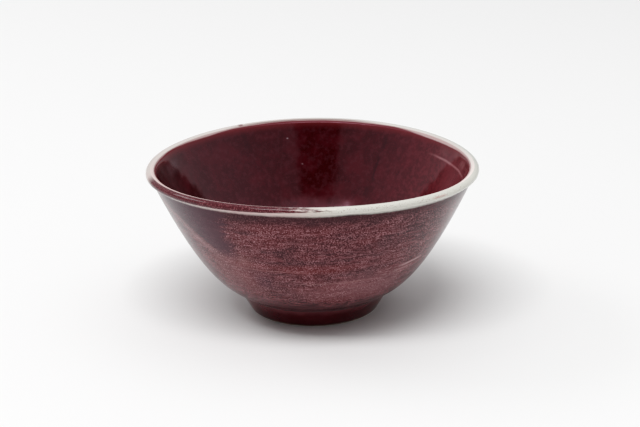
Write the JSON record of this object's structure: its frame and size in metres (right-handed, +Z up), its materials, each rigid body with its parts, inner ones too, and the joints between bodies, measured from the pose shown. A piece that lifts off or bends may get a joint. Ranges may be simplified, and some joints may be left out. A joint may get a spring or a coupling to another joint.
{
  "type": "glazed bowl",
  "caption": "Open wheel-thrown ceramic bowl with straight flaring walls, a rolled lip and a small foot ring, glazed inside and out.",
  "frame": {"origin": "centre of the foot's bare pad, on the surface the bowl stands on", "axes": "+Z up along the bowl's axis, through the middle of the opening; +X and +Y level, the bowl is the same all round"},
  "size_m": [0.155, 0.155, 0.0716],
  "materials": {
    "fired_clay": "fired, unglazed",
    "bare_foot_clay": "fired, wiped bare and smooth",
    "inside_red_glaze": "glossy dark red glaze",
    "speckled_red_glaze": "glossy dark red glaze with fine pale speckle",
    "pale_rim_glaze": "glossy pale glaze, thin over the lip",
    "dark_foot_glaze": "glossy, almost black red glaze",
    "foot_well_glaze": "glossy dark red glaze, thin"
  },
  "bodies": {
    "root": {"clay_body": "fired_clay", "foot_ring": "bare_foot_clay", "inside_glaze": "inside_red_glaze", "outside_glaze": "speckled_red_glaze", "rim_glaze": "pale_rim_glaze", "foot_glaze": "dark_foot_glaze", "foot_well_glaze": "foot_well_glaze"}
  },
  "joints": []
}
